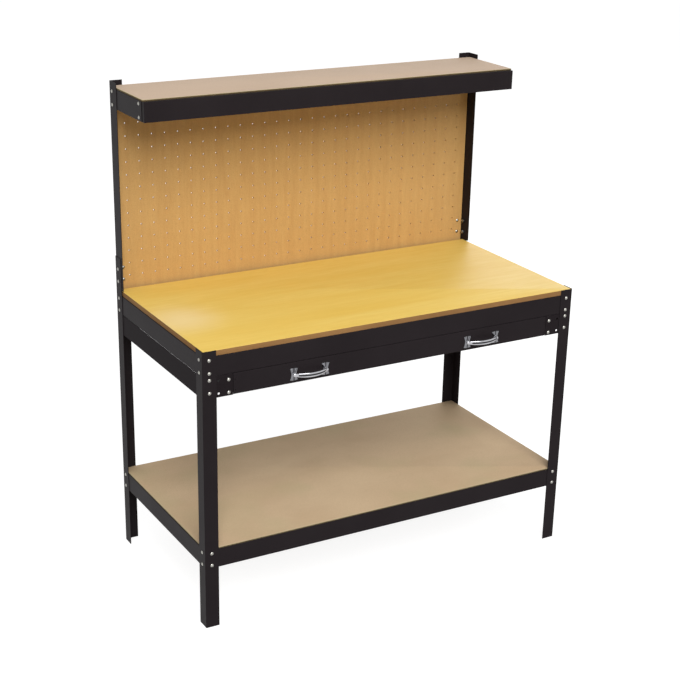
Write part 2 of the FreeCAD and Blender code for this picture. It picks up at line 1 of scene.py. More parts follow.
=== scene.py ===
"""Workbench with pegboard: the finish of every surface, its fasteners and its chromed handles.

Metres, +Z up, the drawer opens towards -Y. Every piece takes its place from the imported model.
"""
import json
import math

import bmesh
import bpy
from mathutils import Matrix, Vector


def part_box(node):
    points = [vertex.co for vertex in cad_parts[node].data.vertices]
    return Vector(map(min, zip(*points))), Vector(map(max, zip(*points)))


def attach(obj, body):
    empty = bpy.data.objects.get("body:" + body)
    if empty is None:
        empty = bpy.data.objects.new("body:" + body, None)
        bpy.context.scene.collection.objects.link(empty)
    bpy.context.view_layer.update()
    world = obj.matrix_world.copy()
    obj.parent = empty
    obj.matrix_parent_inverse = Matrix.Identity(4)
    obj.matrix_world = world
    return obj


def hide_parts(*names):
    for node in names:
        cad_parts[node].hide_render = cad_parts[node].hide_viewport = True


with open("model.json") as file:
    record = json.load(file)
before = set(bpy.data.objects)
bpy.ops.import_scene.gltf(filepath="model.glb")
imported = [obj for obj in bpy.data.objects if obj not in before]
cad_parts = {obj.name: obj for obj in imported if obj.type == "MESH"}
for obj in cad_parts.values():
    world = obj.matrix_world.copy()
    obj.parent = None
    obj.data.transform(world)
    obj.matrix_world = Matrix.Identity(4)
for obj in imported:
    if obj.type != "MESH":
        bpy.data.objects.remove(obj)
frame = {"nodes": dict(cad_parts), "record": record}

bl_info = {
    "name": "Workbench with pegboard",
    "version": (1, 0, 0),
    "blender": (4, 5, 0),
    "location": "View3D > Sidebar > Workbench",
    "description": "Finishes a workbench's steel, boards, fasteners and handles and sets its stage",
    "category": "Object",
}

MM = 0.001
SHARP_ANGLE = math.radians(32)
SAME_LENGTH = 1e-5  # metres, below which two lengths count as equal
TOUCHING = 1e-6  # metres, below which two vertices are one
ROUND_STEPS = 28  # points round a handle's bar and posts
HEAD_SIDES = 24
SHANK_SIDES = 16
NUT_SIDES = 36
BOLTED_GROUPS = ("worktop_frame", "lower_frame", "drawer_housing", "upright_splice", "top_shelf")
# Rails beside the drawer get a less reflective copy of the coat, so that they render darker as
# painted shade
SHADED_RAIL_NODES = ("drawer_housing_left", "drawer_housing_right")
BODY_OF = {name: body for body, names in frame["record"]["behaviour"]["bodies"].items()
           for name in names}
SLOT_OF = {part["node"]: part["material_slot"] for part in frame["record"]["subparts"]}

# Name, size, place and target of each lamp. Its power is a setting of the stage.
LAMPS = (("key", 6.8, (-2.12, -8.1, 7.8), (0, 0, 0.9)),
         ("fill", 2.4, (-3.6, -0.6, 2.0), (0, 0, 0.8)),
         ("back", 2.0, (2.6, 3.0, 1.5), (0.1, 0.1, 0.25)))


def srgb(red, green, blue):
    """Linear colour of an 8-bit screen colour."""
    shares = [value / 255 for value in (red, green, blue)]
    return tuple(s / 12.92 if s <= 0.04045 else ((s + 0.055) / 1.055) ** 2.4 for s in shares)


def colour(name, text, red, green, blue):
    """A colour property with its default given as a screen colour."""
    return bpy.props.FloatVectorProperty(name=name, description=text, subtype="COLOR", size=3,
                                         min=0.0, max=1.0, default=srgb(red, green, blue))


def length(name, text, millimetres):
    """A length property with its default given in millimetres."""
    return bpy.props.FloatProperty(name=name, description=text, default=millimetres * MM,
                                   unit="LENGTH")


def share(name, text, default):
    """A property between nought and one."""
    return bpy.props.FloatProperty(name=name, description=text, default=default, min=0.0, max=1.0,
                                   subtype="FACTOR")


def watts(name, text, default):
    """A lamp's power."""
    return bpy.props.FloatProperty(name=name, description=text, default=default, unit="POWER")


def degrees(name, text, angle):
    """An angle property with its default given in degrees."""
    return bpy.props.FloatProperty(name=name, description=text, default=math.radians(angle),
                                   unit="ROTATION")


class SteelFinish(bpy.types.PropertyGroup):
    """Coats and plating of the metal pieces."""
    coat: colour("Powder coat", "Colour of the coated sheet steel", 37, 32, 34)
    coat_light: colour("Powder coat, light", "Colour where the coat is thin", 42, 37, 39)
    coat_roughness: share("Coat roughness", "Roughness of the powder coat", 0.4)
    coat_gloss: share("Coat gloss", "Reflection of the coat, where 0.5 is that of glass", 0.035)
    # Lower reflection that darkens the rails beside the drawer, as painted shade
    rail_shade_gloss: share("Dull gloss", "The same for the duller rails beside the drawer", 0.009)
    peel_size: length("Peel size", "Width of one dimple of the coat", 1.6)
    zinc: colour("Zinc", "Colour of the plated fasteners", 162, 160, 154)
    zinc_roughness: share("Zinc roughness", "Roughness of the plated fasteners", 0.3)
    chrome: colour("Chrome", "Colour of the handles' bars and posts", 188, 188, 192)
    # Colour of a darker reflection painted on the handles' feet
    chrome_foot_painted_reflection: colour("Chrome, feet", "Colour of the handles' fluted feet", 126, 126, 130)
    # Colour of the shade painted in the handles' grooves and creases
    chrome_painted_shade: colour("Chrome, hollows", "Colour in the grooves and creases", 46, 45, 47)
    chrome_roughness: share("Chrome roughness", "Roughness of the plated handles", 0.1)


class BoardFinish(bpy.types.PropertyGroup):
    """Colours and edges of the four boards."""
    laminate: colour("Laminate", "Main colour of the worktop's face", 233, 195, 92)
    laminate_pale: colour("Laminate, pale grain", "Colour of its pale grain", 238, 206, 112)
    # Pale colour of the sheen patches painted on the worktop near two corners
    laminate_sheen: colour("Laminate, worn", "Colour where the face is rubbed pale", 246, 222, 166)
    core: colour("Worktop core", "Colour of the worktop's bare edge", 168, 126, 78)
    core_dark: colour("Worktop core, dark", "Colour of the dark fibres in that edge", 138, 99, 58)
    lower: colour("Lower shelf", "Main colour of the lower shelf", 218, 191, 155)
    lower_dark: colour("Lower shelf, dark", "Colour of its dark patches", 199, 170, 135)
    lower_olive: colour("Lower shelf, olive", "Colour of its soft olive stains", 196, 178, 138)
    top: colour("Top shelf", "Main colour of the top shelf", 210, 186, 163)
    top_dark: colour("Top shelf, dark", "Colour of its dark patches", 200, 176, 153)
    edge: colour("Shelf edge", "Colour of the sawn edges of both shelves", 112, 92, 62)
    # Lighter colour of a highlight painted on the shelves' eased edges
    arris: colour("Shelf arris", "Colour where the shelves' edges are rubbed", 196, 186, 146)
    hardboard: colour("Hardboard", "Main colour of the pegboard", 211, 169, 106)
    hardboard_dark: colour("Hardboard, dark", "Colour of its dark streaks", 197, 152, 92)
    laminate_thickness: length("Laminate thickness", "Thickness of the worktop's face sheet", 0.9)
    worktop_arris: length("Worktop arris", "Radius of the worktop's eased edges", 0.9)
    shelf_arris: length("Shelf arris", "Radius of the shelves' eased edges", 1.4)
    board_corner: length("Board corner", "Radius of the boards' upright corners", 2.0)
    screen_pitch: length("Screen pitch", "Spacing of the dents on the back of the pegboard", 1.4)


class FastenerSizes(bpy.types.PropertyGroup):
    """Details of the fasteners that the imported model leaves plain."""
    rim_share: share("Rim share", "Upright part of a bolt head, of the head's height", 0.16)
    thread_pitch: length("Thread pitch", "Rise of one turn of a bolt's thread", 1.0)
    thread_depth: length("Thread depth", "Depth of a bolt's thread", 0.45)
    thread_show: length("Threaded tip", "Length of thread modelled at a bolt's tip", 4.0)
    recess_width: length("Recess width", "Width of one slot of a screw's cross", 1.1)
    recess_depth: length("Recess depth", "Depth of a screw's cross", 1.3)
    nut_chamfer: length("Nut chamfer", "Depth of the chamfer at a nut's corners", 0.8)


class HandleSizes(bpy.types.PropertyGroup):
    """Sizes of the chromed bow handles."""
    foot_spread: length("Foot spacing", "Distance between the middles of the two feet", 99.0)
    foot_width: length("Foot width", "Width of a foot at the ends of its lobes", 24.0)
    foot_waist: length("Foot waist", "Width of a foot at its middle", 15.0)
    foot_height: length("Foot height", "Height of a foot over both lobes", 37.0)
    foot_wall: length("Foot thickness", "Thickness of a foot at its rim", 1.2)
    flute_rise: length("Flute rise", "Rise of the two flutes of a lobe", 1.5)
    post_radius: length("Post radius", "Radius of the post behind the bar", 5.0)
    bar_height: length("Bar height", "Height of the bar at its middle", 13.0)
    bar_end_height: length("Bar end height", "Height of the bar at its ends", 7.0)
    bar_wall: length("Bar thickness", "Thickness of the bar", 4.0)
    bar_groove: length("Bar groove", "Depth of the groove along the bar's face", 1.1)
    post_length: length("Post length", "Distance from a foot's face to the bar's end", 8.0)


class StageSettings(bpy.types.PropertyGroup):
    """Camera, lamps and floor."""
    camera_place: bpy.props.FloatVectorProperty(
        name="Camera place", description="Where the camera stands", subtype="XYZ", unit="LENGTH",
        default=(-2.1154, -3.65475, 2.2278))
    camera_yaw: degrees("Camera yaw", "Turn of the view from +Y towards +X", 29.821)
    camera_pitch: degrees("Camera pitch", "Tilt of the view below the horizon", 21.74)
    camera_roll: degrees("Camera roll", "Turn of the camera about its view", 1.166)
    camera_lens: bpy.props.FloatProperty(
        name="Lens", description="Focal length on a 36 mm sensor", unit="CAMERA", default=78.835)
    camera_shift: bpy.props.FloatProperty(
        name="Upward shift", description="Share of the frame that the view moves up", default=0.0588)
    floor_size: bpy.props.FloatProperty(
        name="Floor size", description="Side of the square floor", unit="LENGTH", default=30.0)
    key_power: watts("Key lamp", "Power of the lamp above the front", 1104.0)
    fill_power: watts("Fill lamp", "Power of the lamp at the left", 10.0)
    back_power: watts("Back lamp", "Power of the low lamp behind the bench", 26.0)
    backdrop_glow: share("Backdrop glow", "Brightness of the low light behind the bench", 0.5)
    sky_low: share("Sky, low", "Brightness of the light from the horizon and below", 0.07)
    sky_high: share("Sky, high", "Brightness of the light from overhead", 0.52)
    floor_colour: share("Floor colour", "Share of light that the floor gives back", 0.34)
    floor_glow: share("Floor glow", "Brightness added to the floor for rays that show it", 0.86)


GROUPS = {
    "bench_steel": SteelFinish,
    "bench_boards": BoardFinish,
    "bench_fasteners": FastenerSizes,
    "bench_handles": HandleSizes,
    "bench_stage": StageSettings,
}


class Wire:
    """Output of a node. A formula on it adds Math nodes to its tree."""

    def __init__(self, tree, socket):
        self.tree = tree
        self.socket = socket

    def to(self, socket):
        """Links it to an input."""
        self.tree.links.new(self.socket, socket)

    def split(self):
        """The X, Y and Z of a vector."""
        return wires(self.tree, "ShaderNodeSeparateXYZ", {0: self}, "XYZ")

    def scaled(self, factor):
        """A vector times a number."""
        return wire(self.tree, "ShaderNodeVectorMath", {0: self, "Scale": factor}, operation="SCALE")

    def remap(self, low, high, to_low=0.0, to_high=1.0, **options):
        """The value stretched from one range to another, and held inside it."""
        return wire(self.tree, "ShaderNodeMapRange",
                    {"Value": self, "From Min": low, "From Max": high, "To Min": to_low,
                     "To Max": to_high}, **options)

    def __add__(self, other):
        return calc("ADD", self, other)

    def __sub__(self, other):
        return calc("SUBTRACT", self, other)

    def __rsub__(self, other):
        return calc("SUBTRACT", other, self)

    def __mul__(self, other):
        return calc("MULTIPLY", self, other)

    def __truediv__(self, other):
        return calc("DIVIDE", self, other)

    def __rtruediv__(self, other):
        return calc("DIVIDE", other, self)

    def __gt__(self, other):
        return calc("GREATER_THAN", self, other)

    def __abs__(self):
        return calc("ABSOLUTE", self)


def wires(tree, kind, inputs, outputs, **options):
    """Adds a node, sets its options, fills or links its inputs and returns the outputs asked for."""
    made = tree.nodes.new(kind)
    for option, value in options.items():
        setattr(made, option, value)
    for key, value in inputs.items():
        for item in value if isinstance(value, list) else [value]:
            if isinstance(item, Wire):
                item.to(made.inputs[key])
            else:
                made.inputs[key].default_value = item
    return [Wire(tree, made.outputs[output]) for output in outputs]


def wire(tree, kind, inputs=None, output=0, **options):
    """Adds a node and returns one of its outputs."""
    return wires(tree, kind, inputs or {}, (output,), **options)[0]


def calc(operation, *values, clamp=False):
    """Output of a Math node on wires and numbers."""
    tree = next(value.tree for value in values if isinstance(value, Wire))
    return wire(tree, "ShaderNodeMath", dict(enumerate(values)), operation=operation, use_clamp=clamp)


def calc_vector(operation, *values, output="Vector"):
    """Output of a Vector Math node on a wire and other wires or vectors."""
    return wire(values[0].tree, "ShaderNodeVectorMath", dict(enumerate(values)), output,
                operation=operation)


def vector_of(tree, **axes):
    """Vector of the axes given, nought along the others."""
    return wire(tree, "ShaderNodeCombineXYZ", axes)


def noise(place, scale, detail, roughness=0.5, distortion=0.0):
    """Value of a noise texture."""
    return wire(place.tree, "ShaderNodeTexNoise", {"Vector": place, "Scale": scale, "Detail": detail,
                                                   "Roughness": roughness, "Distortion": distortion})


def blend_colours(factor, first, second):
    """Colour that goes from first to second with the factor. Each is a wire or a plain colour."""
    ends = [end if isinstance(end, Wire) else (*end, 1.0) for end in (first, second)]
    return wire(factor.tree, "ShaderNodeMix", {0: factor, 6: ends[0], 7: ends[1]}, 2,
                data_type="RGBA")


def shade(tone, level):
    """A colour at a share of its brightness."""
    return tuple(level * value for value in tone)


def new_group(name, kind, inputs, outputs):
    """Node group with named sockets, given as name and type, and a default for inputs."""
    group = bpy.data.node_groups.new(name, kind)
    for label, socket_kind, default in inputs:
        socket = group.interface.new_socket(label, in_out="INPUT",
                                            socket_type="NodeSocket" + socket_kind)
        if default is not None:
            socket.default_value = default
    for label, socket_kind in outputs:
        group.interface.new_socket(label, in_out="OUTPUT", socket_type="NodeSocket" + socket_kind)
    given = {socket.name: Wire(group, socket) for socket in group.nodes.new("NodeGroupInput").outputs}
    return group, given, group.nodes.new("NodeGroupOutput").inputs


def shared_marks(place, name, draw, outputs, **values):
    """Outputs of a shader group at a place. The group is made the first time it is asked for."""
    group = bpy.data.node_groups.get(name)
    if group is None:
        inputs = [(label, "Vector" if isinstance(value, tuple) else "Float", value)
                  for label, value in values.items()]
        group, given, result = new_group(
            name, "ShaderNodeTree", [("Vector", "Vector", None), *inputs],
            [(label, "Float") for label in outputs])
        for label, made in zip(outputs, draw(given["Vector"], *[given[key] for key in values])):
            made.to(result[label])
    return wires(place.tree, "ShaderNodeGroup", {"Vector": place, **values}, outputs, node_tree=group)


def draw_peel(place, size, patch):
    """Dimples and slow mottling of a sprayed or plated coat."""
    return noise(place, 1.0 / size, 1.0, 0.4), noise(place, 1.0 / patch, 5.0, 0.6).remap(0.3, 0.7)


def peel(place, size, patch):
    return shared_marks(place, "Coat peel", draw_peel, ("Height", "Mottle"), Size=size, Patch=patch)


def draw_grain(place, stretch):
    """Long streaks along one direction, as in a wood print or a pressed board."""
    drawn = calc_vector("MULTIPLY", place, stretch)
    return (noise(drawn, 1.0, 3.0, 0.55, 0.4).remap(0.32, 0.68),
            noise(drawn.scaled(7.0), 1.0, 4.0, 0.7).remap(0.35, 0.65),
            noise(place, 3.5, 3.0).remap(0.32, 0.68))


def grain(place, *stretch):
    return shared_marks(place, "Board grain", draw_grain, ("Streaks", "Lines", "Clouds"),
                        Stretch=stretch)


def draw_fibre(place, size):
    """Short pressed fibres: a speckle in the colour and a matching height."""
    fine = 1.0 / size
    flecks = wire(place.tree, "ShaderNodeTexVoronoi",
                  {"Vector": place, "Scale": fine, "Randomness": 1.0}, "Distance", feature="F1")
    dust = noise(place, fine, 4.0, 0.7)
    return (flecks * dust).remap(0.1, 0.45), dust


def fibre(place, size):
    return shared_marks(place, "Pressed fibre", draw_fibre, ("Speckle", "Height"), Size=size)


class Finish:
    """Material with a Principled shader, and the object coordinates of its surface."""

    def __init__(self, **constants):
        self.material = bpy.data.materials.new("finish")
        self.material.use_nodes = True
        tree = self.material.node_tree
        self.shader = tree.nodes["Principled BSDF"].inputs
        for key, value in constants.items():
            self.shader[key.replace("_", " ")].default_value = value
        self.place = wire(tree, "ShaderNodeTexCoord", output="Object")

    def surface(self, base, rough, height, strength, distance):
        """Links colour, roughness and a bump, its distance in metres. Returns the material."""
        bump = wire(self.place.tree, "ShaderNodeBump",
                    {"Height": height, "Strength": strength, "Distance": distance})
        for key, value in (("Base Color", base), ("Roughness", rough), ("Normal", bump)):
            value.to(self.shader[key])
        return self.material


def powder_coat(steel, gloss):
    """Near-black satin coat with fine dimples."""
    finish = Finish(Specular_IOR_Level=gloss)
    height, mottle = peel(finish.place, steel.peel_size, 0.22)
    base = blend_colours(mottle, steel.coat, steel.coat_light)
    rough = mottle.remap(0.0, 1.0, steel.coat_roughness - 0.04, steel.coat_roughness + 0.05)
    return finish.surface(base, rough, height, 0.25, 0.00025)


def zinc_plate(steel):
    """Bright plating with a faint cloudy haze."""
    finish = Finish(Metallic=1.0)
    height, mottle = peel(finish.place, 0.0007, 0.006)
    base = blend_colours(mottle, steel.zinc, shade(steel.zinc, 0.82))
    rough = mottle.remap(0.0, 1.0, steel.zinc_roughness - 0.06, steel.zinc_roughness + 0.1)
    return finish.surface(base, rough, height, 0.15, 0.00008)


def handle_painted_light_masks(place, spread):
    """Masks of painted light: one for the darker reflection painted on the handles' feet, and one for
    the shade painted in the groove of the bars and the crease of the feet.
    """
    low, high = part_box("handle_right")
    middle = (low + high) / 2
    x, y, z = place.split()
    aside = abs(abs(abs(x) - middle.x) - spread / 2)
    up = abs(z - middle.z)
    on_foot = (high.y - y).remap(3 * MM, 5 * MM, 1.0, 0.0)
    lobe = up.remap(6 * MM, 8 * MM)
    crease = aside.remap(0.8 * MM, 2.6 * MM, 1.0, 0.0) * lobe * on_foot
    groove = up.remap(1.6 * MM, 3.4 * MM, 1.0, 0.0) * aside.remap(6 * MM, 9 * MM)
    return on_foot, calc("MAXIMUM", crease, groove * (1.0 - on_foot))


def chrome_plate(steel, spread):
    """Mirror plating with light smudges, a darker reflection painted on the feet and shade painted in
    the hollows.
    """
    finish = Finish(Metallic=1.0)
    height, mottle = peel(finish.place, 0.004, 0.02)
    on_foot, painted_shade = handle_painted_light_masks(finish.place, spread)
    clean = blend_colours(on_foot, steel.chrome, steel.chrome_foot_painted_reflection)
    smudged = wire(clean.tree, "ShaderNodeHueSaturation",
                   {"Value": mottle.remap(0.0, 1.0, 1.05, 0.8), "Color": clean})
    base = blend_colours(painted_shade, smudged, steel.chrome_painted_shade)
    rough = mottle.remap(0.0, 1.0, steel.chrome_roughness, steel.chrome_roughness + 0.08)
    return finish.surface(base, rough, height, 0.08, 0.0001)


def painted_sheen_spot(place, x, y, radius):
    """Painted sheen: one at a spot of the worktop, fading out to its radius."""
    away = calc_vector("DISTANCE", place, (x, y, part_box("worktop_board")[1].z), output="Value")
    return away.remap(radius, 0.0, interpolation_type="SMOOTHSTEP")


def laminate(boards):
    """Glossy yellow sheet with a wood print along the bench, and pale sheen patches painted at two
    corners.
    """
    finish = Finish(Specular_IOR_Level=0.3)
    place = finish.place
    streaks, lines, clouds = grain(place, 1.6, 16.0, 16.0)
    plain = blend_colours(streaks, boards.laminate, boards.laminate_pale)
    lined = blend_colours(lines * 0.35, plain, shade(boards.laminate, 0.9))
    cloudy = blend_colours(clouds * 0.3, lined, boards.laminate_pale)
    low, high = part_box("worktop_board")
    # Painted sheen: pale patches at the front left and, fainter, at the back right of the worktop
    left = painted_sheen_spot(place, low.x + 0.05, low.y + 0.27, 0.17)
    right = painted_sheen_spot(place, high.x - 0.05, low.y + 0.12, 0.26) * 0.2
    painted_sheen = calc("MULTIPLY", left + right, clouds.remap(0.0, 1.0, 0.45, 0.85), clamp=True)
    base = blend_colours(painted_sheen, cloudy, boards.laminate_sheen)
    height, _ = peel(place, 0.0012, 0.2)
    return finish.surface(base, lines.remap(0.0, 1.0, 0.5, 0.6), height, 0.12, 0.0001)


def fibreboard(main, dark, fibre_size, stain=None):
    """Bare pressed board: cloudy colour, fine flecks, a soft surface and soft stains if given."""
    finish = Finish(Specular_IOR_Level=0.25)
    place = finish.place
    streaks, _, clouds = grain(place, 3.0, 5.0, 5.0)
    speckle, height = fibre(place, fibre_size)
    base = blend_colours((clouds + streaks) * 0.5, main, dark)
    if stain is not None:
        base = blend_colours(noise(place, 4.5, 2.0).remap(0.5, 0.72, 0.0, 0.7), base, stain)
    base = blend_colours(speckle * 0.4, base, shade(dark, 0.72))
    return finish.surface(base, height.remap(0.2, 0.8, 0.75, 0.9), height, 0.3, 0.0003)


def hardboard(boards):
    """Brown hardboard: smooth in front with upright streaks, and a screen pattern at the back."""
    finish = Finish(Specular_IOR_Level=0.35)
    place = finish.place
    streaks, lines, _ = grain(place, 60.0, 60.0, 5.0)
    speckle, height = fibre(place, 0.0022)
    base = blend_colours(streaks * 0.55 + lines * 0.35, boards.hardboard, boards.hardboard_dark)
    base = blend_colours(speckle * 0.35, base, shade(boards.hardboard_dark, 0.75))
    both = height + screen_height(place, boards.screen_pitch)
    return finish.surface(base, height.remap(0.2, 0.8, 0.5, 0.62), both, 0.25, 0.0003)


def screen_height(place, pitch):
    """Woven dents that the press screen leaves on the back of the board, nought on its front."""
    x, _, z = place.split()
    woven = calc("SINE", x * (2 * math.pi / pitch)) * calc("SINE", z * (2 * math.pi / pitch))
    _, facing_back, _ = wire(place.tree, "ShaderNodeTexCoord", output="Normal").split()
    return woven * (facing_back > 0.5)


def finish_makers(context):
    """For each slot of the record, and each bare board edge, what makes its material."""
    steel = context.scene.bench_steel
    boards = context.scene.bench_boards
    return {
        "black_powder_coat": (powder_coat, steel, steel.coat_gloss),
        # Copy of the coat with less reflection, which paints shade on the rails beside the drawer
        "dull_powder_coat": (powder_coat, steel, steel.rail_shade_gloss),
        "zinc_plate": (zinc_plate, steel),
        "chrome_plate": (chrome_plate, steel, context.scene.bench_handles.foot_spread),
        "worktop_laminate": (laminate, boards),
        "lower_shelf_fibreboard": (fibreboard, boards.lower, boards.lower_dark, 0.0018,
                                   boards.lower_olive),
        "top_shelf_fibreboard": (fibreboard, boards.top, boards.top_dark, 0.0016),
        "hardboard": (hardboard, boards),
        "worktop_core": (fibreboard, boards.core, boards.core_dark, 0.0012),
        "shelf_edge": (fibreboard, boards.edge, shade(boards.edge, 0.7), 0.0012),
        # Painted highlight on the shelves' eased edges
        "shelf_arris": (fibreboard, boards.arris, shade(boards.arris, 0.85), 0.0012),
    }


def material_for(context, slot):
    """The finish of a slot, built the first time it is asked for."""
    made = bpy.data.materials.get("finish_" + slot)
    if made is None:
        maker, *details = finish_makers(context)[slot]
        made = maker(*details)
        made.name = "finish_" + slot
    return made


def dress(context, node, finish=None):
    """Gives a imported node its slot's finish, or another one, in place of the plain one."""
    target = frame["nodes"][node]
    target.data.materials.clear()
    target.data.materials.append(material_for(context, finish or SLOT_OF[node]))


def add_object(name, data):
    """Object in the scene."""
    made = bpy.data.objects.new(name, data)
    bpy.context.scene.collection.objects.link(made)
    return made


def new_piece(name, mesh, body, slot, *nodes):
    """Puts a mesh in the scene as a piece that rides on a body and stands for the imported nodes."""
    piece = add_object(name, mesh)
    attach(piece, body)
    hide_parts(*nodes)


def smoothed(mesh):
    """The mesh, made smooth apart from its sharp edges."""
    mesh.polygons.foreach_set("use_smooth", [True] * len(mesh.polygons))
    mesh.set_sharp_from_angle(angle=SHARP_ANGLE)
    return mesh


def mesh_from(shape, name):
    """Smooth mesh of a bmesh."""
    bmesh.ops.recalc_face_normals(shape, faces=shape.faces)
    mesh = bpy.data.meshes.new(name)
    shape.to_mesh(mesh)
    shape.free()
    return smoothed(mesh)


def eased_board(node, arris, corner, face_sheet=0.0):
    """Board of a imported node's size with eased edges. A face sheet cuts a loop below its top."""
    low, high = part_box(node)
    shape = bmesh.new()
    bmesh.ops.create_cube(shape, size=1.0, matrix=Matrix.Translation((low + high) / 2)
                          @ Matrix.Diagonal((*(high - low), 1.0)))
    for upright, width, segments in ((True, corner, 4), (False, arris, 3)):
        edges = [edge for edge in shape.edges
                 if (abs(edge.verts[0].co.z - edge.verts[1].co.z) > SAME_LENGTH) == upright]
        bmesh.ops.bevel(shape, geom=edges, offset=width, segments=segments, profile=0.5,
                        affect="EDGES")
    if face_sheet:
        cut = Vector((0, 0, high.z - face_sheet))
        bmesh.ops.bisect_plane(shape, geom=shape.verts[:] + shape.edges[:] + shape.faces[:],
                               plane_co=cut, plane_no=(0, 0, 1), dist=1e-7)
    return shape


def make_board(context, node, arris, finishes, choose, face_sheet=0.0):
    """Board with eased edges, where each face has the finish whose number it is given."""
    corner = context.scene.bench_boards.board_corner
    mesh = mesh_from(eased_board(node, arris, corner, face_sheet), node + "_detail")
    for finish in finishes:
        mesh.materials.append(material_for(context, finish))
    for face in mesh.polygons:
        face.material_index = choose(face)
    new_piece(node + "_detail", mesh, "frame", SLOT_OF[node], node)


def shelf_finish(face):
    """Nought on a shelf's faces, one on its sawn edges and two on its arrises, which carry a painted
    highlight.
    """
    level = abs(face.normal.z)
    return 1 if level < 0.3 else 2 if level < 0.98 else 0


def merged_islands(node):
    """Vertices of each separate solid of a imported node, in the same order in every run."""
    shape = bmesh.new()
    shape.from_mesh(frame["nodes"][node].data)
    bmesh.ops.remove_doubles(shape, verts=shape.verts, dist=TOUCHING)
    seen = set()
    islands = []
    for start in shape.verts:
        if start in seen:
            continue
        seen.add(start)
        front = [start]
        found = []
        while front:
            vert = front.pop()
            found.append(vert.co.copy())
            for edge in vert.link_edges:
                other = edge.other_vert(vert)
                if other not in seen:
                    seen.add(other)
                    front.append(other)
        islands.append(found)
    shape.free()
    return islands


def seat_of(points):
    """Place, axis, reach and sizes of one headed pin or nut, from the points of its solid."""
    low = Vector([min(p[i] for p in points) for i in range(3)])
    high = Vector([max(p[i] for p in points) for i in range(3)])
    size = high - low
    middle = (low + high) / 2
    usual = sorted(size)[1]
    along = max(range(3), key=lambda i: abs(size[i] - usual))
    across = [i for i in range(3) if i != along]
    radii = [math.hypot(*(p[i] - middle[i] for i in across)) for p in points]
    widest = max(radii)
    rim = [p[along] for p, radius in zip(points, radii) if radius > widest - SAME_LENGTH]
    seat = middle.copy()
    seat[along] = sum(rim) / len(rim)
    axis = Vector((0, 0, 0))
    axis[along] = 1 if high[along] - seat[along] < seat[along] - low[along] else -1
    ends = sorted((high[along] - seat[along], seat[along] - low[along]))
    shank = min(radius for radius in radii if radius > SAME_LENGTH)
    return {"place": seat, "middle": middle, "axis": axis, "reach": ends[1], "Head radius": widest,
            "Head height": ends[0], "Shank radius": shank, "Height": size[along],
            "Flats": 2 * widest * math.cos(math.pi / 6)}


def seat_points(name, seats, place):
    """Loose points with the axis and the reach of each seat."""
    mesh = bpy.data.meshes.new(name)
    mesh.from_pydata([seat[place] for seat in seats], [], [])
    mesh.attributes.new("axis", "FLOAT_VECTOR", "POINT").data.foreach_set(
        "vector", [value for seat in seats for value in seat["axis"]])
    mesh.attributes.new("reach", "FLOAT", "POINT").data.foreach_set(
        "value", [seat["reach"] for seat in seats])
    return mesh


def at_height(shape, height):
    """The geometry moved up by a height."""
    return wire(shape.tree, "GeometryNodeTransform",
                {"Geometry": shape, "Translation": vector_of(shape.tree, Z=height)})


def placed(shape, **place):
    """The geometry with the Position or Offset of its points set."""
    return wire(shape.tree, "GeometryNodeSetPosition", {"Geometry": shape, **place})


def drum(tree, vertices, radius, depth, rings=1, caps=1, fill="NGON"):
    """Cylinder about the Z axis, with its middle on z = 0."""
    return wire(tree, "GeometryNodeMeshCylinder",
                {"Vertices": vertices, "Side Segments": rings, "Fill Segments": caps,
                 "Radius": radius, "Depth": depth}, fill_type=fill)


def radial(tree):
    """Height, flat place, radius and angle of a point about the Z axis."""
    x, y, z = wire(tree, "GeometryNodeInputPosition").split()
    flat = vector_of(tree, X=x, Y=y)
    return z, flat, calc_vector("LENGTH", flat, output="Value"), calc("ARCTAN2", y, x)


def reshaped(shape, flat, factor, height):
    """The geometry with its flat place times a factor, at a height."""
    upright = vector_of(shape.tree, Z=height)
    return placed(shape, Position=calc_vector("ADD", flat.scaled(factor), upright))


def dome_head(tree, given):
    """Round head that stands on z = 0, with an upright rim and a domed top."""
    radius = given["Head radius"]
    rim = given["Rim height"]
    z, _, away, _ = radial(tree)
    out = away / radius
    rise = (1.0 - out * out) * (given["Head height"] - rim) * (z > 0.0)
    head = drum(tree, HEAD_SIDES, radius, rim, caps=5, fill="TRIANGLE_FAN")
    return at_height(placed(head, Offset=vector_of(tree, Z=rise)), rim * 0.5)


def cross_recess(tree, given, head):
    """Cuts a cross into the top of a head."""
    long_way = given["Head radius"] * 1.05
    narrow = given["Recess width"]
    deep = given["Recess depth"] * 2.0
    cutters = []
    for x, y in ((long_way, narrow), (narrow, long_way)):
        cube = wire(tree, "GeometryNodeMeshCube", {"Size": vector_of(tree, X=x, Y=y, Z=deep)})
        cutters.append(at_height(cube, given["Head height"]))
    return wire(tree, "GeometryNodeMeshBoolean", {"Mesh 1": head, "Mesh 2": cutters},
                operation="DIFFERENCE")


def threaded_tip(tree, given):
    """End of a shank with a helical thread and a chamfer. Its far end is on z = 0."""
    tall = given["Thread length"]
    pitch = given["Thread pitch"]
    radius = given["Shank radius"]
    rod = drum(tree, SHANK_SIDES, radius, tall, rings=tall / pitch * 4.0)
    z, flat, _, angle = radial(tree)
    turn = z / pitch + angle / (2 * math.pi)
    wave = calc("PINGPONG", turn, 0.5) * 2.0
    grooved = 1.0 - wave * (given["Thread depth"] / radius)
    chamfer = z.remap(0.0, 0.6 * MM, 0.8, 1.0)
    return reshaped(at_height(rod, tall * 0.5), flat, grooved * chamfer, z)


def attribute(tree, name, kind):
    """Field of a named attribute of the points."""
    return wire(tree, "GeometryNodeInputNamedAttribute", {"Name": name}, data_type=kind)


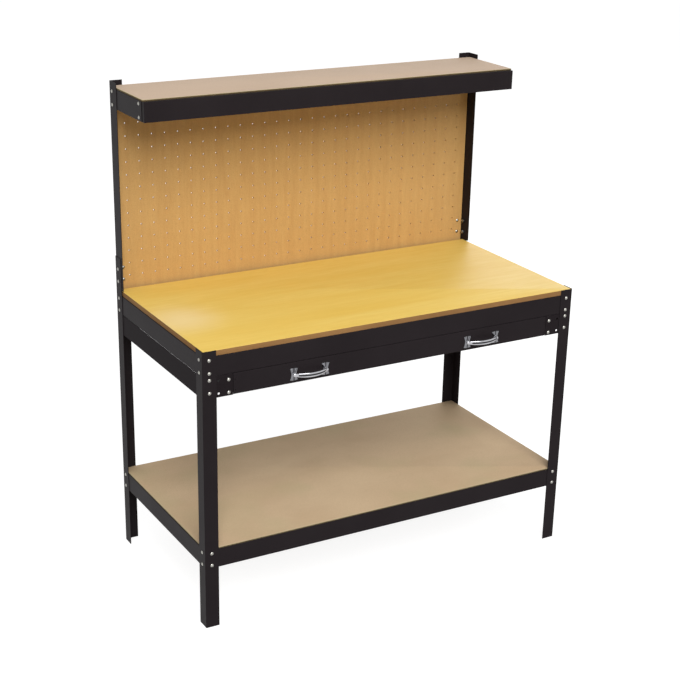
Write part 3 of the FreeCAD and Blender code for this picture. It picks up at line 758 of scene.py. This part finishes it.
def spun_rotation(tree, given):
    """Rotation that stands a shape on each point's axis, with a random turn about it."""
    toward = wire(tree, "FunctionNodeAlignRotationToVector",
                  {"Vector": attribute(tree, "axis", "FLOAT_VECTOR")}, axis="Z")
    chance = wire(tree, "FunctionNodeRandomValue", {3: 2 * math.pi, "Seed": given["Seed"]}, 1,
                  data_type="FLOAT")
    spin = wire(tree, "FunctionNodeAxisAngleToRotation", {"Axis": (0, 0, 1), "Angle": chance})
    return wire(tree, "FunctionNodeRotateRotation", {"Rotation": toward, "Rotate By": spin},
                rotation_space="LOCAL")


def strewn(points, shape, rotation, **scale):
    """The shape on every point."""
    return wire(points.tree, "GeometryNodeInstanceOnPoints",
                {"Points": points, "Instance": shape, "Rotation": rotation, **scale})


def close_tree(tree, given, result, shapes):
    """Joins the shapes, makes them real and gives them their material."""
    joined = wire(tree, "GeometryNodeJoinGeometry", {0: shapes})
    real = wire(tree, "GeometryNodeRealizeInstances", {"Geometry": joined})
    wire(tree, "GeometryNodeSetMaterial",
         {"Geometry": real, "Material": given["Material"]}).to(result["Geometry"])
    return tree


def point_tree(name, *sizes):
    """Geometry tree with inputs of those names, and the points of the mesh that it is given."""
    tree, given, result = new_group(
        name, "GeometryNodeTree",
        [("Geometry", "Geometry", None), *[(size, "Float", MM) for size in sizes],
         ("Seed", "Int", 1), ("Material", "Material", None)],
        [("Geometry", "Geometry")])
    return tree, given, result, wire(tree, "GeometryNodeMeshToPoints", {"Mesh": given["Geometry"]})


def pin_tree(name, recessed=False, threaded=False):
    """Headed pins on points: a domed head, a shank and, on a bolt, a threaded tip."""
    tree, given, result, points = point_tree(
        name, "Head radius", "Head height", "Rim height", "Shank radius", "Thread length",
        "Thread pitch", "Thread depth", "Recess width", "Recess depth")
    head = dome_head(tree, given)
    if recessed:
        head = cross_recess(tree, given, head)
    rotation = spun_rotation(tree, given)
    reach = attribute(tree, "reach", "FLOAT")
    plain = reach - given["Thread length"] if threaded else reach
    rod = at_height(drum(tree, SHANK_SIDES, given["Shank radius"], 1.0), -0.5)
    shapes = [strewn(points, head, rotation),
              strewn(points, rod, rotation, Scale=vector_of(tree, X=1.0, Y=1.0, Z=plain))]
    if threaded:
        back = attribute(tree, "axis", "FLOAT_VECTOR").scaled(reach * -1.0)
        shapes.append(strewn(placed(points, Offset=back), threaded_tip(tree, given), rotation))
    return close_tree(tree, given, result, shapes)


def nut_tree():
    """Hexagon nuts on points, with chamfered corners."""
    tree, given, result, points = point_tree("Hexagon nuts", "Flats", "Height", "Chamfer")
    z, flat, _, angle = radial(tree)
    half = given["Flats"] * 0.5
    hexagon = half / calc("COSINE", calc("WRAP", angle, math.pi / 6, -math.pi / 6))
    at_end = abs(z) > 1.0
    between = 1.0 - at_end
    reach = calc("MINIMUM", hexagon, half * 1.01) * at_end + hexagon * between
    level = given["Height"] * 0.5 - given["Chamfer"] * between
    blank = drum(tree, NUT_SIDES, 1.0, 3.0, rings=3)
    nut = reshaped(blank, flat, reach, calc("SIGN", z) * level)
    return close_tree(tree, given, result, [strewn(points, nut, spun_rotation(tree, given))])


def grown(name, points, tree, inputs):
    """Plain mesh that a Geometry Nodes tree makes from points, with those inputs that it has."""
    seed = add_object(name + "_seed", points)
    modifier = seed.modifiers.new("Grow", "NODES")
    modifier.node_group = tree
    for item in tree.interface.items_tree:
        if item.in_out == "INPUT" and item.name in inputs:
            modifier[item.identifier] = inputs[item.name]
    graph = bpy.context.evaluated_depsgraph_get()
    graph.update()
    mesh = bpy.data.meshes.new_from_object(seed.evaluated_get(graph), depsgraph=graph)
    seed.modifiers.clear()
    bpy.data.objects.remove(seed)
    for extra in {"axis", "reach"} & set(mesh.attributes.keys()):
        mesh.attributes.remove(mesh.attributes[extra])
    if not mesh.polygons:
        raise RuntimeError(name + " came out empty")
    mesh.name = name
    return smoothed(mesh)


def make_fasteners(context, node, tree, seed, anchor="place"):
    """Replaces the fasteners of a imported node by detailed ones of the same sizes."""
    seats = [seat_of(points) for points in merged_islands(node)]
    sizes = context.scene.bench_fasteners
    inputs = {**seats[0], "Rim height": seats[0]["Head height"] * sizes.rim_share,
              "Thread length": sizes.thread_show, "Thread pitch": sizes.thread_pitch,
              "Thread depth": sizes.thread_depth, "Recess width": sizes.recess_width,
              "Recess depth": sizes.recess_depth, "Chamfer": sizes.nut_chamfer, "Seed": seed,
              "Material": material_for(context, SLOT_OF[node])}
    mesh = grown(node + "_detail", seat_points(node, seats, anchor), tree, inputs)
    new_piece(node + "_detail", mesh, BODY_OF[node], SLOT_OF[node], node)


def skin(shape, rings):
    """Faces between closed rows of vertices, and a fan over each end row."""
    for near, far in zip(rings, rings[1:]):
        count = len(near)
        for i in range(count):
            shape.faces.new((near[i], near[(i + 1) % count], far[(i + 1) % count], far[i]))
    for ring in (rings[0], rings[-1]):
        middle = shape.verts.new(sum((v.co for v in ring), Vector()) / len(ring))
        for i in range(len(ring)):
            shape.faces.new((ring[i], ring[(i + 1) % len(ring)], middle))


def foot_point(sizes, u, v):
    """Point of a foot's rim-to-rim grid: u across and v up, both from -1 to 1, as x and z."""
    waist = sizes.foot_waist / sizes.foot_width
    width = waist + (1 - waist) * abs(v) ** 1.6
    crown = 1 - 0.09 * (1 - math.cos(math.pi * u)) / 2
    return u * width * sizes.foot_width / 2, v * crown * sizes.foot_height / 2


def foot_rise(sizes, u, v):
    """Thickness of a foot: a thin rim, and two flutes on each lobe."""
    lobe = min(1.0, max(0.0, (abs(v) - 0.18) / 0.3))
    flutes = math.sin(math.pi * abs(u)) * lobe
    hub = (1 - lobe) * (1 - u * u)
    edge = min(1.0, (1 - abs(u)) / 0.18) * min(1.0, (1 - abs(v)) / 0.14)
    return sizes.foot_wall + (flutes * 0.9 + hub) * sizes.flute_rise * math.sqrt(max(edge, 0.0))


def make_foot(shape, sizes, base):
    """Foot plate as a closed grid, with its back flat on the drawer front."""
    across = 24
    up = 36
    front = {}
    back = {}
    for i in range(across + 1):
        for j in range(up + 1):
            u = 2 * i / across - 1
            v = 2 * j / up - 1
            x, z = foot_point(sizes, u, v)
            front[i, j] = shape.verts.new(base + Vector((x, -foot_rise(sizes, u, v), z)))
            back[i, j] = shape.verts.new(base + Vector((x, 0, z)))
    for i in range(across):
        for j in range(up):
            for grid in (front, back):
                shape.faces.new((grid[i, j], grid[i + 1, j], grid[i + 1, j + 1], grid[i, j + 1]))
    rim = [(i, 0) for i in range(across)] + [(across, j) for j in range(up)]
    rim += [(i, up) for i in range(across, 0, -1)] + [(0, j) for j in range(up, 0, -1)]
    for here, after in zip(rim, rim[1:] + rim[:1]):
        shape.faces.new((front[here], front[after], back[after], back[here]))


def round_angles():
    return [2 * math.pi * k / ROUND_STEPS for k in range(ROUND_STEPS)]


def make_post(shape, sizes, base):
    """Turned post between a foot and the bar: a flare, a neck and a bead."""
    radius = sizes.post_radius
    long = sizes.foot_wall + sizes.post_length
    profile = [(1.35, 0.0), (1.3, 0.12), (1.0, 0.24), (0.82, 0.36), (0.8, 0.5), (0.95, 0.62),
               (1.1, 0.74), (1.15, 0.88), (1.08, 1.02), (0.85, 1.14), (0.45, 1.22)]
    rings = []
    for wide, far in profile:
        rings.append([shape.verts.new(base + Vector((radius * wide * math.cos(a), -long * far,
                                                     radius * wide * math.sin(a))))
                      for a in round_angles()])
    skin(shape, rings)


def bar_section(sizes, height, wall):
    """Closed outline of the bar, as depth and height: a groove in front between two ridges."""
    points = []
    for a in round_angles():
        across = math.cos(a)
        upward = math.sin(a)
        depth = math.copysign(abs(across) ** 0.6, across) * wall / 2
        tall = math.copysign(abs(upward) ** 0.75, upward) * height / 2
        if across > 0:
            depth -= sizes.bar_groove * math.exp(-(tall / (height * 0.2)) ** 2) * across
        points.append((depth, tall))
    return points


def make_bar(shape, sizes, middle, face_y, reach):
    """Bar swept along one arc from post to post, slimmer and rounded off at its ends."""
    half = sizes.foot_spread / 2
    sag = reach - sizes.foot_wall - sizes.post_length - sizes.bar_wall / 2
    radius = (half * half + sag * sag) / (2 * sag)
    span = math.asin(half / radius)
    hub = Vector((middle.x, face_y - reach + sizes.bar_wall / 2 + radius, middle.z))
    over = 1.07
    stations = 48
    rings = []
    for k in range(stations + 1):
        t = 2 * k / stations - 1
        angle = t * span * over
        swell = math.cos(t * math.pi / 2) ** 0.5 if abs(t) < 1 else 0.0
        tip = min(1.0, (1 - abs(t)) / 0.06)
        rounded = math.sqrt(max(0.0, 1 - (1 - tip) ** 2)) if tip < 1 else 1.0
        slim = max(rounded, 0.12)
        height = (sizes.bar_end_height + (sizes.bar_height - sizes.bar_end_height) * swell) * slim
        wall = sizes.bar_wall * slim
        outward = Vector((math.sin(angle), -math.cos(angle), 0))
        rings.append([shape.verts.new(hub + outward * radius + outward * depth + Vector((0, 0, tall)))
                      for depth, tall in bar_section(sizes, height, wall)])
    skin(shape, rings)


def make_handle(context, node):
    """Chromed bow handle in the place of a packed one."""
    sizes = context.scene.bench_handles
    low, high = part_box(node)
    middle = (low + high) / 2
    shape = bmesh.new()
    for side in (-1, 1):
        base = Vector((middle.x + side * sizes.foot_spread / 2, high.y, middle.z))
        make_foot(shape, sizes, base)
        make_post(shape, sizes, base)
    make_bar(shape, sizes, middle, high.y, high.y - low.y)
    mesh = mesh_from(shape, node + "_detail")
    mesh.materials.append(material_for(context, "chrome_plate"))
    new_piece(node + "_detail", mesh, BODY_OF[node], SLOT_OF[node], node)


def look_along(settings):
    """Rotation of the camera from its yaw, pitch and roll."""
    yaw, pitch, roll = settings.camera_yaw, settings.camera_pitch, settings.camera_roll
    ahead = Vector((math.sin(yaw) * math.cos(pitch), math.cos(yaw) * math.cos(pitch),
                    -math.sin(pitch)))
    right = Vector((math.cos(yaw), -math.sin(yaw), 0))
    up = right.cross(ahead)
    turned = Matrix((right * math.cos(roll) + up * math.sin(roll),
                     up * math.cos(roll) - right * math.sin(roll), -ahead))
    return turned.transposed()


def add_camera(settings):
    data = bpy.data.cameras.new("bench_camera")
    data.lens = settings.camera_lens
    data.shift_y = settings.camera_shift
    camera = add_object("bench_camera", data)
    camera.matrix_world = Matrix.Translation(settings.camera_place) @ look_along(settings).to_4x4()
    bpy.context.scene.camera = camera


def add_lamp(name, power, size, place, target):
    """Square soft lamp at a place, turned to a target."""
    data = bpy.data.lights.new(name, "AREA")
    data.energy = power
    data.size = size
    lamp = add_object(name, data)
    lamp.location = place
    lamp.rotation_euler = (Vector(target) - Vector(place)).to_track_quat("-Z", "Y").to_euler()


def seen_rays(tree):
    """One for rays that show the background: from the camera, off gloss or through glass."""
    camera, glossy, through = wires(tree, "ShaderNodeLightPath", {},
                                    ("Is Camera Ray", "Is Glossy Ray", "Is Transmission Ray"))
    return calc("ADD", camera + glossy, through, clamp=True)


def white_floor(settings):
    """Pale floor that shows as white and keeps the shadow."""
    finish = Finish(Base_Color=(*[settings.floor_colour] * 3, 1.0), Roughness=0.9,
                    Specular_IOR_Level=0.0, Emission_Color=(1.0, 1.0, 1.0, 1.0))
    finish.material.name = "floor_white"
    seen = seen_rays(finish.material.node_tree)
    (seen * settings.floor_glow).to(finish.shader["Emission Strength"])
    return finish.material


def add_floor(settings):
    half = settings.floor_size / 2
    mesh = bpy.data.meshes.new("floor")
    mesh.from_pydata([(-half, -half, 0), (half, -half, 0), (half, half, 0), (-half, half, 0)], [],
                     [(0, 1, 2, 3)])
    mesh.materials.append(white_floor(settings))
    floor = add_object("floor", mesh)


def set_world(settings):
    """White behind the object, a soft light from overhead and a low glow from behind the bench."""
    world = bpy.data.worlds.new("studio")
    world.use_nodes = True
    tree = world.node_tree
    light = tree.nodes["Background"].inputs
    light["Color"].default_value = (1.0, 1.0, 1.0, 1.0)
    _, y, z = wire(tree, "ShaderNodeTexCoord", output="Generated").split()
    sky = z.remap(0.0, 1.0, settings.sky_low, settings.sky_high)
    glow = y.remap(0.0, 1.0) * z.remap(0.0, 0.7, settings.backdrop_glow, 0.0)
    calc("MAXIMUM", sky + glow, seen_rays(tree)).to(light["Strength"])
    bpy.context.scene.world = world


class BENCH_OT_set_stage(bpy.types.Operator):
    """Sets the camera, the lamps, the floor and the white surroundings"""
    bl_idname = "bench.set_stage"
    bl_label = "Set stage"

    def execute(self, context):
        settings = context.scene.bench_stage
        context.scene.view_settings.view_transform = "Standard"
        add_camera(settings)
        for name, size, place, target in LAMPS:
            add_lamp(name + "_lamp", getattr(settings, name + "_power"), size, place, target)
        add_floor(settings)
        set_world(settings)
        return {"FINISHED"}


class BENCH_OT_coat_steel(bpy.types.Operator):
    """Powder coats the legs, beams, rails, top shelf frame and drawer"""
    bl_idname = "bench.coat_steel"
    bl_label = "Coat steel"

    def execute(self, context):
        for node, slot in SLOT_OF.items():
            if slot == "black_powder_coat":
                # The rails beside the drawer take the copy of the coat that paints shade on them
                dress(context, node, "dull_powder_coat" if node in SHADED_RAIL_NODES else None)
        return {"FINISHED"}


class BENCH_OT_make_boards(bpy.types.Operator):
    """Makes the worktop and both shelf boards with eased edges"""
    bl_idname = "bench.make_boards"
    bl_label = "Make boards"

    def execute(self, context):
        boards = context.scene.bench_boards
        sheet = max(boards.laminate_thickness, boards.worktop_arris)
        sheet_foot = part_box("worktop_board")[1].z - sheet
        make_board(context, "worktop_board", boards.worktop_arris,
                   ("worktop_laminate", "worktop_core"),
                   lambda face: 1 if face.center.z < sheet_foot else 0, sheet)
        for node in ("lower_shelf_board", "top_shelf_board"):
            make_board(context, node, boards.shelf_arris,
                       (SLOT_OF[node], "shelf_edge", "shelf_arris"), shelf_finish)
        return {"FINISHED"}


class BENCH_OT_finish_pegboard(bpy.types.Operator):
    """Gives the pegboard its hardboard finish"""
    bl_idname = "bench.finish_pegboard"
    bl_label = "Finish pegboard"

    def execute(self, context):
        dress(context, "pegboard")
        return {"FINISHED"}


class BENCH_OT_make_bolts(bpy.types.Operator):
    """Makes the dome-headed frame bolts and their nuts"""
    bl_idname = "bench.make_bolts"
    bl_label = "Make bolts and nuts"

    def execute(self, context):
        bolts = pin_tree("Dome bolts", threaded=True)
        nuts = nut_tree()
        for seed, name in enumerate(BOLTED_GROUPS):
            make_fasteners(context, name + "_bolts", bolts, seed)
            make_fasteners(context, name + "_nuts", nuts, seed, anchor="middle")
        return {"FINISHED"}


class BENCH_OT_make_screws(bpy.types.Operator):
    """Makes the cross-recessed screws of the worktop and the handles"""
    bl_idname = "bench.make_screws"
    bl_label = "Make screws"

    def execute(self, context):
        screws = pin_tree("Recessed screws", recessed=True)
        for seed, node in enumerate(("worktop_screws", "handle_screws")):
            make_fasteners(context, node, screws, seed)
        return {"FINISHED"}


class BENCH_OT_make_rivets(bpy.types.Operator):
    """Makes the rivets of the drawer"""
    bl_idname = "bench.make_rivets"
    bl_label = "Make rivets"

    def execute(self, context):
        make_fasteners(context, "drawer_rivets", pin_tree("Dome rivets"), 1)
        return {"FINISHED"}


class BENCH_OT_make_handles(bpy.types.Operator):
    """Makes the two chromed bow handles"""
    bl_idname = "bench.make_handles"
    bl_label = "Make handles"

    def execute(self, context):
        make_handle(context, "handle_left")
        make_handle(context, "handle_right")
        return {"FINISHED"}


OPERATORS = (BENCH_OT_coat_steel, BENCH_OT_make_boards, BENCH_OT_finish_pegboard, BENCH_OT_make_bolts,
             BENCH_OT_make_screws, BENCH_OT_make_rivets, BENCH_OT_make_handles, BENCH_OT_set_stage)


class BENCH_PT_workbench(bpy.types.Panel):
    """Sizes, colours and steps of the workbench"""
    bl_idname = "BENCH_PT_workbench"
    bl_label = "Workbench"
    bl_space_type = "VIEW_3D"
    bl_region_type = "UI"
    bl_category = "Workbench"

    def draw(self, context):
        for name, group in GROUPS.items():
            box = self.layout.box()
            for value in group.__annotations__:
                box.prop(getattr(context.scene, name), value)
        for step in OPERATORS:
            self.layout.operator(step.bl_idname)


def register():
    for name, group in GROUPS.items():
        bpy.utils.register_class(group)
        setattr(bpy.types.Scene, name, bpy.props.PointerProperty(type=group))
    for kind in (*OPERATORS, BENCH_PT_workbench):
        bpy.utils.register_class(kind)


def unregister():
    for kind in (BENCH_PT_workbench, *reversed(OPERATORS)):
        bpy.utils.unregister_class(kind)
    for name, group in reversed(GROUPS.items()):
        delattr(bpy.types.Scene, name)
        bpy.utils.unregister_class(group)


def main():
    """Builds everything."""
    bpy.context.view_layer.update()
    register()
    bpy.ops.bench.set_stage()
    bpy.ops.bench.coat_steel()
    bpy.ops.bench.make_boards()
    bpy.ops.bench.finish_pegboard()
    bpy.ops.bench.make_bolts()
    bpy.ops.bench.make_screws()
    bpy.ops.bench.make_rivets()
    bpy.ops.bench.make_handles()
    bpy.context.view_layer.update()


if __name__ == "__main__":
    main()
